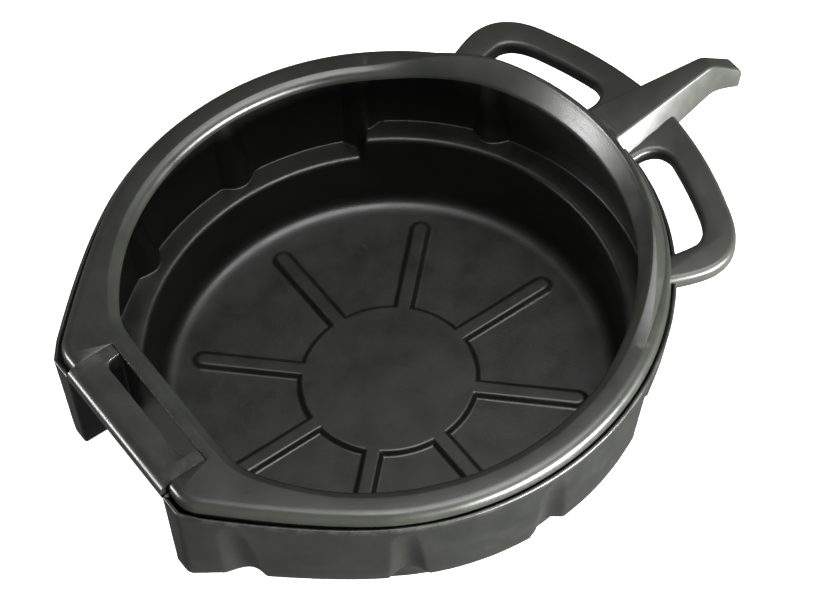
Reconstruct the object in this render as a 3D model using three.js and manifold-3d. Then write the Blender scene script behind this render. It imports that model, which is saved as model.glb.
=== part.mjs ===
// A sixteen-litre oil drain pan in moulded plastic: a round fluted tub that stands on its flat floor,
// with a splash rim that rises into a crest on the pouring side, a hand grip across the front,
// two loop handles at the back and a covered pouring spout between them.
// Millimetres, +Z up, +Y along the spout. The origin is on the ground, under the middle of the pan.

import * as THREE from "three";
import { mergeVertices } from "three/addons/utils/BufferGeometryUtils.js";
import Module from "manifold-3d";

const wasm = await Module();
wasm.setup();

// Driving dimensions. Radii and reaches are from the upright axis of the bowl, heights from the ground.
const skin = 3; // thickness of the moulded walls
const gap = 0.3; // clearance between neighbouring pieces
const floorRadius = 184; // foot of the lower wall, inside
const lowerWallRadius = 190.5; // inner edge of the ledge
const wallFootRadius = 215; // outside of the fluted upper wall, level with the low ledge's underside
const wallTopRadius = 229; // the wall opens outward up to here, and shows outside the rim
const wallTop = 141;
const ledgeLow = 53; // ledge round the front
const ledgeHigh = 74; // ledge round the spout side
const ledgeStepAngle = 60; // azimuth from the spout where the ledge changes height
const mouthRadius = 198; // inner edge of the lip
const mouthFront = 181.5; // reach of the straight front edge of the lip
const rimRadius = 224.5; // the rim's bead nests inside the top of the wall
const rimTop = 151;
const rimDepth = 17;
const rimFront = 232.5; // reach of the bead at the front corners
const crestRadius = 221.7;
const crestTop = 169;
const frontReach = 238.5; // front edge of the grip
const spoutTop = 161.7;
const spoutReach = 354;
const turnSegments = 60; // sides of every turned shape

// Sizes that follow from them.
const plateBottom = rimTop - skin;
const wallFoot = ledgeLow - skin;
const ledgeEdgeRound = 4;
const beadBottom = rimTop - rimDepth;
const far = 400; // past the pan on every side, for cutters

const point = (x, y) => new THREE.Vector2(x, y);
const rad = THREE.MathUtils.degToRad;

// ---- closed solids from three.js geometry ----

function solidOf(geometry) {
  const bare = geometry.clone();
  bare.deleteAttribute("normal");
  bare.deleteAttribute("uv");
  const merged = mergeVertices(bare, 1e-3);
  const vertProperties = new Float32Array(merged.attributes.position.array);
  const triVerts = new Uint32Array(merged.index.array);
  return new wasm.Manifold(new wasm.Mesh({ numProp: 3, vertProperties, triVerts }));
}

// A ring or a round body turned about the upright axis, from a path of (radius, height).
function turned(path) {
  const points = path.getPoints(3);
  if (THREE.ShapeUtils.isClockWise(points)) points.reverse();
  const geometry = new THREE.LatheGeometry(points, turnSegments);
  return solidOf(geometry.rotateX(Math.PI / 2));
}

// A plan outline raised between two heights, with all its edges rounded where a round is given.
function raised(outline, low, high, round = 0) {
  const geometry = new THREE.ExtrudeGeometry(outline, {
    depth: high - low - 2 * round,
    curveSegments: 12,
    bevelEnabled: round > 0,
    bevelSize: round,
    bevelThickness: round,
    bevelOffset: -round,
    bevelSegments: 2,
  });
  return solidOf(geometry.translate(0, 0, low + round));
}

// A side outline of (reach along Y, height) run across the pan from -halfWidth to +halfWidth.
function across(outline, halfWidth) {
  return solidOf(acrossGeometry(outline, halfWidth));
}

function acrossGeometry(outline, halfWidth) {
  const geometry = new THREE.ExtrudeGeometry(outline, {
    depth: 2 * halfWidth,
    curveSegments: 6,
    bevelEnabled: false,
  });
  const alongY = new THREE.Vector3(0, 1, 0);
  const alongZ = new THREE.Vector3(0, 0, 1);
  const alongX = new THREE.Vector3(1, 0, 0);
  geometry.translate(0, 0, -halfWidth);
  return geometry.applyMatrix4(new THREE.Matrix4().makeBasis(alongY, alongZ, alongX));
}

function block(low, high) {
  const size = new THREE.Vector3().subVectors(high, low);
  const middle = new THREE.Vector3().addVectors(low, high).multiplyScalar(0.5);
  const geometry = new THREE.BoxGeometry(size.x, size.y, size.z);
  return solidOf(geometry.translate(middle.x, middle.y, middle.z));
}

const below = (height) => block(new THREE.Vector3(-far, -far, -far), new THREE.Vector3(far, far, height));

// The sector of the pan within an azimuth either side of the spout.
function sector(halfAngle) {
  const x = 2 * far * Math.sin(rad(halfAngle));
  const y = 2 * far * Math.cos(rad(halfAngle));
  return raised(new THREE.Shape([point(0, 0), point(x, y), point(-x, y)]), -far, far);
}

function mirrored(outline) {
  return new THREE.Shape(outline.getPoints(12).map((p) => point(-p.x, p.y)).reverse());
}

// ---- bowl ----

// The flutes are round channels pressed into the wall from outside. Their axes lean out more than the
// wall does, so each grows shallow and narrow on its way up and ends in a dome.
const fluteAngles = [-120, -90, -60, -30, 30, 60, 90, 120];
const fluteCentre = 219; // reach of the flute's axis at the wall's foot
const fluteRadius = 16; // on the inner face of the wall
const fluteTop = 134;
const fluteLean = 14.3; // degrees
const cornerFluteAngle = 151.7;
const cornerFluteCentre = 240;

function flute(radius, angle, centre) {
  const top = fluteTop - fluteRadius;
  const geometry = new THREE.CapsuleGeometry(radius, top - wallFoot, 4, 16);
  geometry.rotateX(Math.PI / 2).translate(0, 0, (top - wallFoot) / 2);
  geometry.rotateX(-rad(fluteLean)).translate(0, centre, wallFoot).rotateZ(-rad(angle));
  return solidOf(geometry);
}

function withoutFlutes(body, radius) {
  const corners = [-cornerFluteAngle, cornerFluteAngle];
  const all = fluteAngles.map((angle) => flute(radius, angle, fluteCentre));
  all.push(...corners.map((angle) => flute(radius, angle, cornerFluteCentre)));
  return all.reduce((rest, one) => rest.subtract(one), body);
}

// The inside or, grown outward by the wall's thickness, the outside of the lower tub and its ledge.
function lowerTub(outward, low, top) {
  const foot = floorRadius + outward;
  const knee = lowerWallRadius + outward;
  const ledge = ledgeLow - outward;
  const footRound = 12;
  const path = new THREE.Path()
    .moveTo(0, low)
    .lineTo(foot - footRound, low)
    .quadraticCurveTo(foot, low, foot + 1, low + footRound)
    .lineTo(knee, ledge - ledgeEdgeRound)
    .quadraticCurveTo(knee, ledge, knee + ledgeEdgeRound, ledge)
    .lineTo(knee + ledgeEdgeRound, top)
    .lineTo(0, top);
  return turned(path);
}

// A plan outline that is round behind and beside the mouth and flares out to a square front corner on
// each side. The bends are the two control points of the flare, and the corner its end.
const backStretches = 5; // the round back is drawn as this many arcs

function flaredOutline({ radius, start, bends, flareEnd, corner, front }, outward) {
  const grown = radius + outward;
  const from = point(grown * Math.sin(rad(start)), grown * Math.cos(rad(start)));
  const [near, next, end, turn] = [...bends, flareEnd, corner].map(([x, y]) => {
    const reach = Math.hypot(x, y);
    return point(x * (1 + outward / reach), y * (1 + outward / reach));
  });
  const stop = point(front[0], -front[1] - outward);
  const outline = new THREE.Shape().moveTo(-from.x, from.y);
  const stretch = (2 * rad(start)) / backStretches;
  for (let i = 0; i < backStretches; i += 1) {
    const begin = Math.PI / 2 + rad(start) - i * stretch;
    outline.absarc(0, 0, grown, begin, begin - stretch, true);
  }
  return outline
    .bezierCurveTo(near.x, near.y, next.x, next.y, end.x, end.y)
    .quadraticCurveTo(turn.x, Math.max(turn.y, stop.y), stop.x, stop.y)
    .lineTo(-stop.x, stop.y)
    .quadraticCurveTo(-turn.x, Math.max(turn.y, stop.y), -end.x, end.y)
    .bezierCurveTo(-next.x, next.y, -near.x, near.y, -from.x, from.y);
}

const wallFootPlan = {
  radius: wallFootRadius,
  start: 118,
  bends: [[172, -137], [133, -181]],
  flareEnd: [97, -219],
  corner: [88, -236],
  front: [76, frontReach],
};
const wallTopPlan = {
  radius: wallTopRadius,
  start: 122,
  bends: [[172, -157], [134, -196.5]],
  flareEnd: [98, -231],
  corner: [90, -238.5],
  front: [80, frontReach],
};
const beadPlan = {
  radius: rimRadius,
  start: 122,
  bends: [[167.5, -153.5], [129.5, -192]],
  flareEnd: [94, -226],
  corner: [86, -232.5],
  front: [76, rimFront],
};

// The fluted wall as a body that opens outward on its way up, held inside the outline of its top.
function flaredWall(outward, low, top, round) {
  const body = raised(flaredOutline(wallFootPlan, outward), low, top, round);
  const growth = (wallTopRadius / wallFootRadius - 1) / (wallTop - wallFoot);
  const opened = body.warp((vertex) => {
    const scale = 1 + growth * (vertex[2] - wallFoot);
    vertex[0] *= scale;
    vertex[1] *= scale;
  });
  return opened.intersect(raised(flaredOutline(wallTopPlan, outward), low - 1, top + 1));
}

// What the higher ledge of the spout side takes away under itself.
function ledgeFill(outward, halfAngle) {
  const knee = lowerWallRadius + outward;
  const ledge = ledgeHigh - outward;
  const path = new THREE.Path()
    .moveTo(knee, 0)
    .lineTo(knee, ledge - ledgeEdgeRound)
    .quadraticCurveTo(knee, ledge, knee + ledgeEdgeRound, ledge)
    .lineTo(far, ledge)
    .lineTo(far, 0)
    .lineTo(knee, 0);
  return turned(path).intersect(sector(halfAngle));
}

// The hand recess under the grip parts the two front corners of the wall. A straight wall closes it
// behind, and the corners close it at its ends.
const recessHalfLength = 66;
const chordWall = -192.5;

function recess(outward, low) {
  const end = recessHalfLength + outward;
  return block(new THREE.Vector3(-end, -far, low), new THREE.Vector3(end, chordWall + outward, far));
}

// The floor is stiffened by a raised disc and eight raised ribs that run out from it.
const discRadius = 72;
const ribHeight = 4;
const ribReach = 160;
const ribCount = 8;
const ribHalfTop = 5;
const ribHalfFoot = 9;

function floorRelief() {
  const disc = new THREE.CylinderGeometry(discRadius - 2, discRadius + 2, ribHeight + gap, turnSegments);
  disc.rotateX(Math.PI / 2).translate(0, 0, skin + (ribHeight - gap) / 2);
  const section = new THREE.Shape([
    point(-ribHalfFoot, skin - gap),
    point(ribHalfFoot, skin - gap),
    point(ribHalfTop, skin + ribHeight),
    point(-ribHalfTop, skin + ribHeight),
  ]);
  const length = ribReach - ribHalfFoot - discRadius / 2;
  const end = new THREE.CylinderGeometry(ribHalfTop, ribHalfFoot, ribHeight + gap, 16);
  end.rotateX(Math.PI / 2).translate(0, ribReach - ribHalfFoot, skin + (ribHeight - gap) / 2);
  const bar = new THREE.ExtrudeGeometry(section, { depth: length, bevelEnabled: false });
  bar.rotateX(Math.PI / 2).translate(0, ribReach - ribHalfFoot, 0);
  let relief = solidOf(disc);
  for (let i = 0; i < ribCount; i += 1) {
    const turn = (i * 2 * Math.PI) / ribCount;
    relief = relief.add(solidOf(bar.clone().rotateZ(turn)));
    relief = relief.add(solidOf(end.clone().rotateZ(turn)));
  }
  return relief;
}

// The oil leaves through a window in the wall, just under the rim, into the spout.
const windowHalfWidth = 14;
const windowLow = 119;
const windowHigh = beadBottom - gap;

function bowl() {
  const stepPlate = 0.43; // half the angle that the plate closing the ledge's step takes up
  const innerTop = plateBottom - gap; // the recess walls reach up under the plate of the rim
  const underPlate = raised(flaredOutline(beadPlan, -skin - gap), 0, innerTop);
  const rawOutside = flaredWall(0, wallFoot, innerTop + 2 * ledgeEdgeRound, ledgeEdgeRound);
  const wallOutside = rawOutside.intersect(below(wallTop).add(underPlate)).intersect(below(innerTop));
  const tubOutside = lowerTub(skin, 0, wallFoot + ledgeEdgeRound * 2);
  const outside = withoutFlutes(tubOutside.add(wallOutside).subtract(recess(0, -far)), fluteRadius - skin)
    .subtract(ledgeFill(skin, ledgeStepAngle - stepPlate));
  const wallHollow = flaredWall(-skin, ledgeLow, far / 2, 0);
  const hollow = withoutFlutes(lowerTub(0, skin, far / 2).add(wallHollow), fluteRadius)
    .subtract(recess(skin, -far))
    .subtract(ledgeFill(0, ledgeStepAngle + stepPlate));
  const spoutWindow = block(
    new THREE.Vector3(-windowHalfWidth, mouthRadius, windowLow),
    new THREE.Vector3(windowHalfWidth, wallTopRadius, windowHigh),
  );
  return outside.subtract(hollow).add(floorRelief()).subtract(spoutWindow);
}

// ---- splash rim ----

const rimRound = 2.5; // round of the rim's upper edge
const rollReach = 8; // how far the lip rolls in from the flat rim
const rollDrop = 7; // and how far it drops

// The opening of the pan with the rolled lip round it, round at the back and straight at the front.
function mouth() {
  const low = beadBottom - 10;
  const lipHeight = rimTop - rollDrop;
  const round = new THREE.Path()
    .moveTo(0, low)
    .lineTo(mouthRadius, low)
    .lineTo(mouthRadius, lipHeight)
    .quadraticCurveTo(mouthRadius + 1, rimTop, mouthRadius + rollReach, rimTop)
    .lineTo(mouthRadius + rollReach, far)
    .lineTo(0, far);
  const straight = new THREE.Shape()
    .moveTo(far, low)
    .lineTo(-mouthFront, low)
    .lineTo(-mouthFront, lipHeight)
    .quadraticCurveTo(-mouthFront - 1, rimTop, -mouthFront - rollReach, rimTop)
    .lineTo(-mouthFront - rollReach, far)
    .lineTo(far, far);
  return turned(round).intersect(across(straight, far));
}

// The hollow under the rim, between its outer leg and the lip.
function underside() {
  const low = beadBottom - 10;
  const lipBottom = rimTop - rollDrop - skin;
  const round = new THREE.Path()
    .moveTo(0, low)
    .lineTo(0, lipBottom)
    .lineTo(mouthRadius + skin, lipBottom)
    .lineTo(mouthRadius + rollReach, plateBottom)
    .lineTo(far, plateBottom)
    .lineTo(far, low)
    .lineTo(0, low);
  const straight = new THREE.Shape([
    point(-far, low),
    point(far, low),
    point(far, lipBottom),
    point(-mouthFront - skin, lipBottom),
    point(-mouthFront - rollReach, plateBottom),
    point(-far, plateBottom),
  ]);
  const insideLeg = raised(flaredOutline(beadPlan, -skin), low - 1, plateBottom);
  return turned(round).add(across(straight, far)).intersect(insideLeg);
}

// Everything below the line along which the crest falls to the height of the flat rim, seen from the
// side: level from the spout back to crestFullReach, then down an even bend that ends at crestFootReach.
const crestFullReach = 200;
const crestFootReach = 95;

function crestLine(drop) {
  const high = crestTop + 1 - drop;
  const bend = 30;
  const outline = new THREE.Shape()
    .moveTo(crestFootReach, 0)
    .lineTo(far, 0)
    .lineTo(far, high)
    .lineTo(crestFullReach, high)
    .bezierCurveTo(
      crestFullReach - bend,
      high,
      crestFootReach + bend,
      rimTop - 4 - drop,
      crestFootReach,
      rimTop - rollDrop - drop,
    );
  return across(outline, far);
}

// The crest rises inside the flat rim: its inner face carries on from the lip, its top is narrow and
// its outer face slopes out to the rim's edge.
const crestTopInner = 211;
const crestTopOuter = 214.5;

function crest() {
  const low = beadBottom;
  const path = new THREE.Path()
    .moveTo(mouthRadius + 1, low)
    .lineTo(mouthRadius + 1, rimTop - 5)
    .lineTo(mouthRadius + 2, rimTop)
    .lineTo(crestTopInner - 1, crestTop - 2)
    .quadraticCurveTo(crestTopInner, crestTop, crestTopInner + 1.5, crestTop)
    .quadraticCurveTo(crestTopOuter, crestTop, crestTopOuter + 1, crestTop - 2)
    .lineTo(crestRadius - 0.5, rimTop + 2)
    .lineTo(crestRadius, rimTop - 1)
    .lineTo(crestRadius, low)
    .lineTo(mouthRadius + 1, low);
  return turned(path).intersect(crestLine(0));
}

function crestHollow() {
  const low = beadBottom - 10;
  const path = new THREE.Path()
    .moveTo(mouthRadius + 2 + skin, low)
    .lineTo(mouthRadius + 2 + skin, rimTop - 1)
    .lineTo(crestTopInner + 1, crestTop - 1.5 * skin)
    .lineTo(crestTopOuter - 1.5, crestTop - 1.5 * skin)
    .lineTo(crestRadius - skin, rimTop)
    .lineTo(crestRadius - skin, low)
    .lineTo(mouthRadius + 2 + skin, low);
  return turned(path).intersect(crestLine(skin));
}

function splashRim() {
  const gripRoom = block(
    new THREE.Vector3(-recessHalfLength, -far, -far),
    new THREE.Vector3(recessHalfLength, gripBack, far),
  );
  return raised(flaredOutline(beadPlan, 0), beadBottom - 2 * rimRound, rimTop, rimRound)
    .subtract(mouth())
    .add(crest())
    .subtract(below(beadBottom))
    .subtract(crestHollow())
    .subtract(underside())
    .subtract(recess(skin + gap, -far).intersect(below(plateBottom)))
    .subtract(gripRoom);
}

// ---- front grip ----

const gripBack = -197; // back edge of the finger slot
const gripBarBack = -211;
const slotHalfLength = 54;
const gripDepth = 15;
const gripRound = 4;

function frontGrip() {
  const ends = recessHalfLength - gap;
  const bottom = rimTop - gripDepth;
  const bar = new THREE.Shape()
    .moveTo(-frontReach + gripRound, bottom)
    .lineTo(gripBarBack - gripRound, bottom)
    .quadraticCurveTo(gripBarBack, bottom, gripBarBack, bottom + gripRound)
    .lineTo(gripBarBack, rimTop - 2)
    .lineTo(gripBarBack - 2, rimTop)
    .lineTo(-frontReach + gripRound, rimTop)
    .quadraticCurveTo(-frontReach, rimTop, -frontReach, rimTop - gripRound)
    .lineTo(-frontReach, bottom + gripRound)
    .quadraticCurveTo(-frontReach, bottom, -frontReach + gripRound, bottom);
  const joint = gripBack - gap;
  const corner = 6;
  const plate = new THREE.Shape()
    .moveTo(-ends, joint)
    .lineTo(-ends, gripBarBack - gripRound)
    .lineTo(ends, gripBarBack - gripRound)
    .lineTo(ends, joint)
    .lineTo(slotHalfLength, joint)
    .lineTo(slotHalfLength, gripBarBack + corner)
    .quadraticCurveTo(slotHalfLength, gripBarBack, slotHalfLength - corner, gripBarBack)
    .lineTo(corner - slotHalfLength, gripBarBack)
    .quadraticCurveTo(-slotHalfLength, gripBarBack, -slotHalfLength, gripBarBack + corner)
    .lineTo(-slotHalfLength, joint);
  return across(bar, ends).add(raised(plate, rimTop - 2 * skin, rimTop));
}

// ---- pouring spout ----

const chuteEnd = 275;
const spoutFold = 321.5; // where the flat top folds down into the nozzle
const spoutBottom = 134;

// The spout is widest where it leaves the crest and its sides splay outward going down.
function spoutHalfWidth(y, z) {
  const along = (y - crestRadius) / (spoutFold - crestRadius);
  const topHalfWidth = Math.max(17.5 - 10.5 * along, 6);
  const splay = Math.max(0.54 - 0.42 * along, 0.1);
  return topHalfWidth + splay * (spoutTop - z);
}

// The spout's body drawn from the side, shrunk all round by the inset, then splayed to its width.
function spoutBody(inset, tipExtra) {
  const top = spoutTop - inset;
  const bottom = spoutBottom + inset;
  const tip = spoutReach - 1 + tipExtra;
  const outline = new THREE.Shape()
    .moveTo(205, bottom)
    .lineTo(spoutFold - 4, bottom)
    .quadraticCurveTo(spoutFold + 6, bottom, tip - 8, 121 + inset - tipExtra / 2)
    .quadraticCurveTo(tip + 1 - inset, 127 - tipExtra, tip - 2, 136 - inset - tipExtra)
    .lineTo(spoutFold + 4 - inset, top - 3)
    .quadraticCurveTo(spoutFold + 1 - inset, top, spoutFold - 4 - inset, top)
    .lineTo(205, top);
  const geometry = acrossGeometry(outline, 1);
  const position = geometry.attributes.position;
  for (let i = 0; i < position.count; i += 1) {
    const halfWidth = spoutHalfWidth(position.getY(i), position.getZ(i)) - inset;
    position.setX(i, position.getX(i) * halfWidth);
  }
  return solidOf(geometry);
}

// The chute carries the oil up from the window in the wall to the level of the spout.
function chute(inset) {
  const low = windowLow - skin + inset;
  const outline = new THREE.Shape([
    point(205, low),
    point(chuteEnd, spoutBottom + inset),
    point(chuteEnd, spoutBottom + 10 - inset),
    point(205, spoutBottom + 10 - inset),
  ]);
  return across(outline, windowHalfWidth + skin - inset);
}

// The tub and its rim, grown by the clearance, which the spout and the handles stop short of.
function tubClearance() {
  const path = new THREE.Path()
    .moveTo(0, 0)
    .lineTo(wallTopRadius + 2 * gap, 0)
    .lineTo(wallTopRadius + 2 * gap, wallTop + gap)
    .lineTo(rimRadius + 2 * gap, wallTop + gap)
    .lineTo(rimRadius + 2 * gap, rimTop + gap)
    .lineTo(crestRadius + gap, rimTop + 2)
    .lineTo(crestTopOuter + 1 + 2 * gap, crestTop - 2)
    .lineTo(crestTopOuter + 1, far)
    .lineTo(0, far);
  return turned(path);
}

function pourSpout() {
  const body = spoutBody(0, 0).add(chute(0)).subtract(tubClearance());
  return body.subtract(spoutBody(skin, 6)).subtract(chute(skin));
}

// ---- loop handles ----

const loopTop = 146;
const loopDepth = 14.5;
const loopRound = 4;

// The right-hand loop seen from above, from its leg along the spout round to its leg on the rim.
function loopOutline() {
  return new THREE.Shape()
    .moveTo(5, 205)
    .lineTo(5, 277)
    .quadraticCurveTo(60, 274, 112, 253)
    .quadraticCurveTo(157, 238, 154, 205)
    .quadraticCurveTo(152, 190, 138, 165)
    .lineTo(120, 180)
    .quadraticCurveTo(125.5, 198, 126.5, 210)
    .quadraticCurveTo(125, 222, 106, 230)
    .quadraticCurveTo(78, 241, 50, 247)
    .quadraticCurveTo(34, 248, 32, 232)
    .lineTo(32, 205);
}

function loopHandle(outline) {
  return raised(outline, loopTop - loopDepth, loopTop, loopRound)
    .subtract(tubClearance())
    .subtract(spoutBody(-gap, 0))
    .subtract(chute(-gap));
}

// ---- assembly ----

function blackPlastic(color, roughness) {
  return new THREE.MeshStandardMaterial({ color, roughness, metalness: 0 });
}

// The largest body of a cut solid: specks left where two curved cutters cross are dropped.
function mainBody(solid) {
  return solid.decompose().reduce((best, body) => (body.volume() > best.volume() ? body : best));
}

function piece(name, solid, material) {
  const mesh = mainBody(solid).getMesh();
  const geometry = new THREE.BufferGeometry();
  geometry.setAttribute("position", new THREE.BufferAttribute(mesh.vertProperties, 3));
  geometry.setIndex(new THREE.BufferAttribute(mesh.triVerts, 1));
  geometry.computeVertexNormals();
  const made = new THREE.Mesh(geometry, material);
  made.name = name;
  return made;
}

const pan = new THREE.Group();
pan.add(piece("bowl", bowl(), blackPlastic(0x24251f, 0.42)));
pan.add(piece("splash_rim", splashRim(), blackPlastic(0x2e302a, 0.36)));
pan.add(piece("front_grip", frontGrip(), blackPlastic(0x2e302a, 0.36)));
pan.add(piece("right_loop_handle", loopHandle(loopOutline()), blackPlastic(0x30322c, 0.4)));
pan.add(piece("left_loop_handle", loopHandle(mirrored(loopOutline())), blackPlastic(0x30322c, 0.4)));
pan.add(piece("pour_spout", pourSpout(), blackPlastic(0x34362f, 0.38)));

const reach = new THREE.Box3().setFromObject(pan);
pan.position.y = -(reach.min.y + reach.max.y) / 2;

export default pan;
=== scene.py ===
"""The looks of a black plastic oil drain pan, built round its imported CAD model.

Every shape is worked out in millimetres from the upright axis of the bowl, with heights from the
ground, and put into the frame in metres. Azimuths are in degrees from the spout, growing towards +X.
"""

import math

import bmesh
import bpy
import numpy as np
from mathutils import Matrix, Vector


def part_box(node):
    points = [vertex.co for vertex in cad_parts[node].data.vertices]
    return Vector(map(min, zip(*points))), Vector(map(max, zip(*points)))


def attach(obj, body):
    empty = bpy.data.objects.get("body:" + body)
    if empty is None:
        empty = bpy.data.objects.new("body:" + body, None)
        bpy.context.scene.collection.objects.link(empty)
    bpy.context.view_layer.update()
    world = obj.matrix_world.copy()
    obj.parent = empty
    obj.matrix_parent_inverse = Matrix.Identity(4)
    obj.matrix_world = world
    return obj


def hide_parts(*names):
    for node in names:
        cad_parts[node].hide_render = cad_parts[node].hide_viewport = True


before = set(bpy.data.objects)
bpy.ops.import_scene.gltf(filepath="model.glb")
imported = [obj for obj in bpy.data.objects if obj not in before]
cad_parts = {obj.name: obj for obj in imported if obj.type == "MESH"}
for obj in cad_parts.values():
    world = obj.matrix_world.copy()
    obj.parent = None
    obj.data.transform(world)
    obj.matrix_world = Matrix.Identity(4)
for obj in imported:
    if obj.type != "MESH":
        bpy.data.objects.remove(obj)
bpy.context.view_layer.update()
MM = 0.001

# Sizes read from the frame.
bowl_low, bowl_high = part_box("bowl")
rim_low, rim_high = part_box("splash_rim")
grip_low, grip_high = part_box("front_grip")
loop_low, loop_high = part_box("right_loop_handle")
spout_low, spout_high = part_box("pour_spout")

RIM_RADIUS = rim_high.x / MM
AXIS_Y = rim_high.y / MM - RIM_RADIUS
WALL_TOP_RADIUS = bowl_high.x / MM
RIM_TOP = grip_high.z / MM
RIM_BOTTOM = rim_low.z / MM
CREST_TOP = rim_high.z / MM
FRONT_REACH = AXIS_Y - grip_low.y / MM
RIM_FRONT = AXIS_Y - rim_low.y / MM
SPOUT_TOP = spout_high.z / MM
SPOUT_TIP = spout_high.y / MM - AXIS_Y
LOOP_TOP = loop_high.z / MM
LOOP_BOTTOM = loop_low.z / MM
GRIP_BOTTOM = grip_low.z / MM
UNDER_RIM = bowl_high.z / MM

# Sizes of the moulding that the frame doesn't name.
SKIN = 3.0
GAP = 0.3  # between neighbouring pieces
FLOOR_RADIUS = 184.0  # foot of the lower wall, inside
KNEE_RADIUS = 190.5  # inner edge of the ledge
LEDGE_LOW = 53.0  # height of the ledge round the front
LEDGE_HIGH = 74.0  # and round the spout side
LEDGE_STEP = 60.0  # azimuth where it changes height
WALL_FOOT = LEDGE_LOW - SKIN
WALL_FOOT_RADIUS = 215.0
WALL_TOP = 141.0
MOUTH_RADIUS = 198.0
MOUTH_FRONT = 181.5  # reach of the straight front edge of the lip
CHORD_WALL = 192.5  # reach of the straight wall behind the grip
CREST_RADIUS = 221.7  # reach from which the spout narrows


def smooth(value, low, high):
    """0 below low, 1 above high, and a smooth ramp between them."""
    x = np.clip((value - low) / (high - low), 0.0, 1.0)
    return x * x * (3.0 - 2.0 * x)


# ---------------------------------------------------------------- meshes


class Shell:
    """Collects rings of points and the faces between them, and turns them into an object."""

    def __init__(self):
        self.points = []
        self.faces = []

    def ring(self, xyz):
        first = len(self.points)
        self.points.extend(map(tuple, xyz))
        return list(range(first, first + len(xyz)))

    def bridge(self, low, high, skip=()):
        count = len(low)
        for i in range(count):
            if i in skip:
                continue
            j = (i + 1) % count
            self.faces.append((low[i], low[j], high[j], high[i]))

    def fan(self, ring, centre, outward):
        pole = self.ring([centre])[0]
        count = len(ring)
        for i in range(count):
            pair = (ring[i], ring[(i + 1) % count])
            self.faces.append((*pair, pole) if outward else (*pair[::-1], pole))

    def zipper(self, low, high, low_angles, high_angles):
        """Joins two rings of different counts whose points both run once round from -180 degrees."""
        i = j = 0
        while i < len(low) or j < len(high):
            a, b = low[i % len(low)], high[j % len(high)]
            next_low = low_angles[i + 1] if i + 1 < len(low) else low_angles[0] + 360.0
            next_high = high_angles[j + 1] if j + 1 < len(high) else high_angles[0] + 360.0
            if j >= len(high) or (i < len(low) and next_low <= next_high):
                self.faces.append((a, low[(i + 1) % len(low)], b))
                i += 1
            else:
                self.faces.append((a, high[(j + 1) % len(high)], b))
                j += 1

    def made(self, name):
        points = np.array(self.points, float)
        points[:, 1] += AXIS_Y
        mesh = bpy.data.meshes.new(name)
        mesh.from_pydata((points * MM).tolist(), [], self.faces)
        piece = bpy.data.objects.new(name, mesh)
        bpy.context.scene.collection.objects.link(piece)
        face_out(piece)
        mesh.shade_smooth()
        return piece


def face_out(piece):
    bm = bmesh.new()
    bm.from_mesh(piece.data)
    bmesh.ops.recalc_face_normals(bm, faces=bm.faces)
    bm.to_mesh(piece.data)
    bm.free()


def loft_round(name, sections):
    """A ring-shaped body from sections[i], the closed outline at step i round the ring."""
    shell = Shell()
    rings = [shell.ring(section) for section in sections]
    for low, high in zip(rings, rings[1:] + rings[:1]):
        shell.bridge(low, high)
    return shell.made(name)


def apply_modifiers(piece):
    graph = bpy.context.evaluated_depsgraph_get()
    graph.update()
    done = bpy.data.meshes.new_from_object(piece.evaluated_get(graph))
    old = piece.data
    piece.modifiers.clear()
    piece.data = done
    bpy.data.meshes.remove(old)


def box_tool(low, high):
    """A plain box between two corners in millimetres, used only to cut with."""
    shell = Shell()
    xs, ys, zs = zip(low, high)
    base = [(xs[0], ys[0]), (xs[1], ys[0]), (xs[1], ys[1]), (xs[0], ys[1])]
    lower = shell.ring([(x, y, zs[0]) for x, y in base])
    upper = shell.ring([(x, y, zs[1]) for x, y in base])
    shell.bridge(lower, upper)
    shell.faces.append(tuple(lower[::-1]))
    shell.faces.append(tuple(upper))
    return shell.made("cutter")


def cut(piece, tool, operation):
    """Cuts the piece with the tool and removes the tool."""
    boolean = piece.modifiers.new("cut", "BOOLEAN")
    boolean.operation = operation
    boolean.object = tool
    boolean.solver = "EXACT"
    apply_modifiers(piece)
    bpy.data.objects.remove(tool)


def ease_edges(piece, width, angle=40.0, segments=2):
    bevel = piece.modifiers.new("edges", "BEVEL")
    bevel.width = width * MM
    bevel.segments = segments
    bevel.limit_method = "ANGLE"
    bevel.angle_limit = math.radians(angle)
    bevel.harden_normals = False
    apply_modifiers(piece)
    shade_by_angle(piece, 50.0)


def shade_by_angle(piece, angle):
    piece.data.shade_smooth()
    bm = bmesh.new()
    bm.from_mesh(piece.data)
    limit = math.radians(angle)
    for edge in bm.edges:
        edge.smooth = not (len(edge.link_faces) == 2 and edge.calc_face_angle(0.0) > limit)
    bm.to_mesh(piece.data)
    bm.free()


# ---------------------------------------------------------------- plan outlines


def polar(radius, azimuth):
    a = np.radians(azimuth)
    return np.stack([radius * np.sin(a), radius * np.cos(a)], axis=-1)


def azimuth_of(points):
    points = np.asarray(points, float)
    return np.degrees(np.arctan2(points[..., 0], points[..., 1]))


def arc(start, corner, end, steps):
    """Points of a quadratic curve from start to end that heads for the corner."""
    t = np.linspace(0.0, 1.0, steps + 1)[:, None]
    start, corner, end = (np.array(p, float) for p in (start, corner, end))
    return (1 - t) ** 2 * start + 2 * t * (1 - t) * corner + t**2 * end


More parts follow.
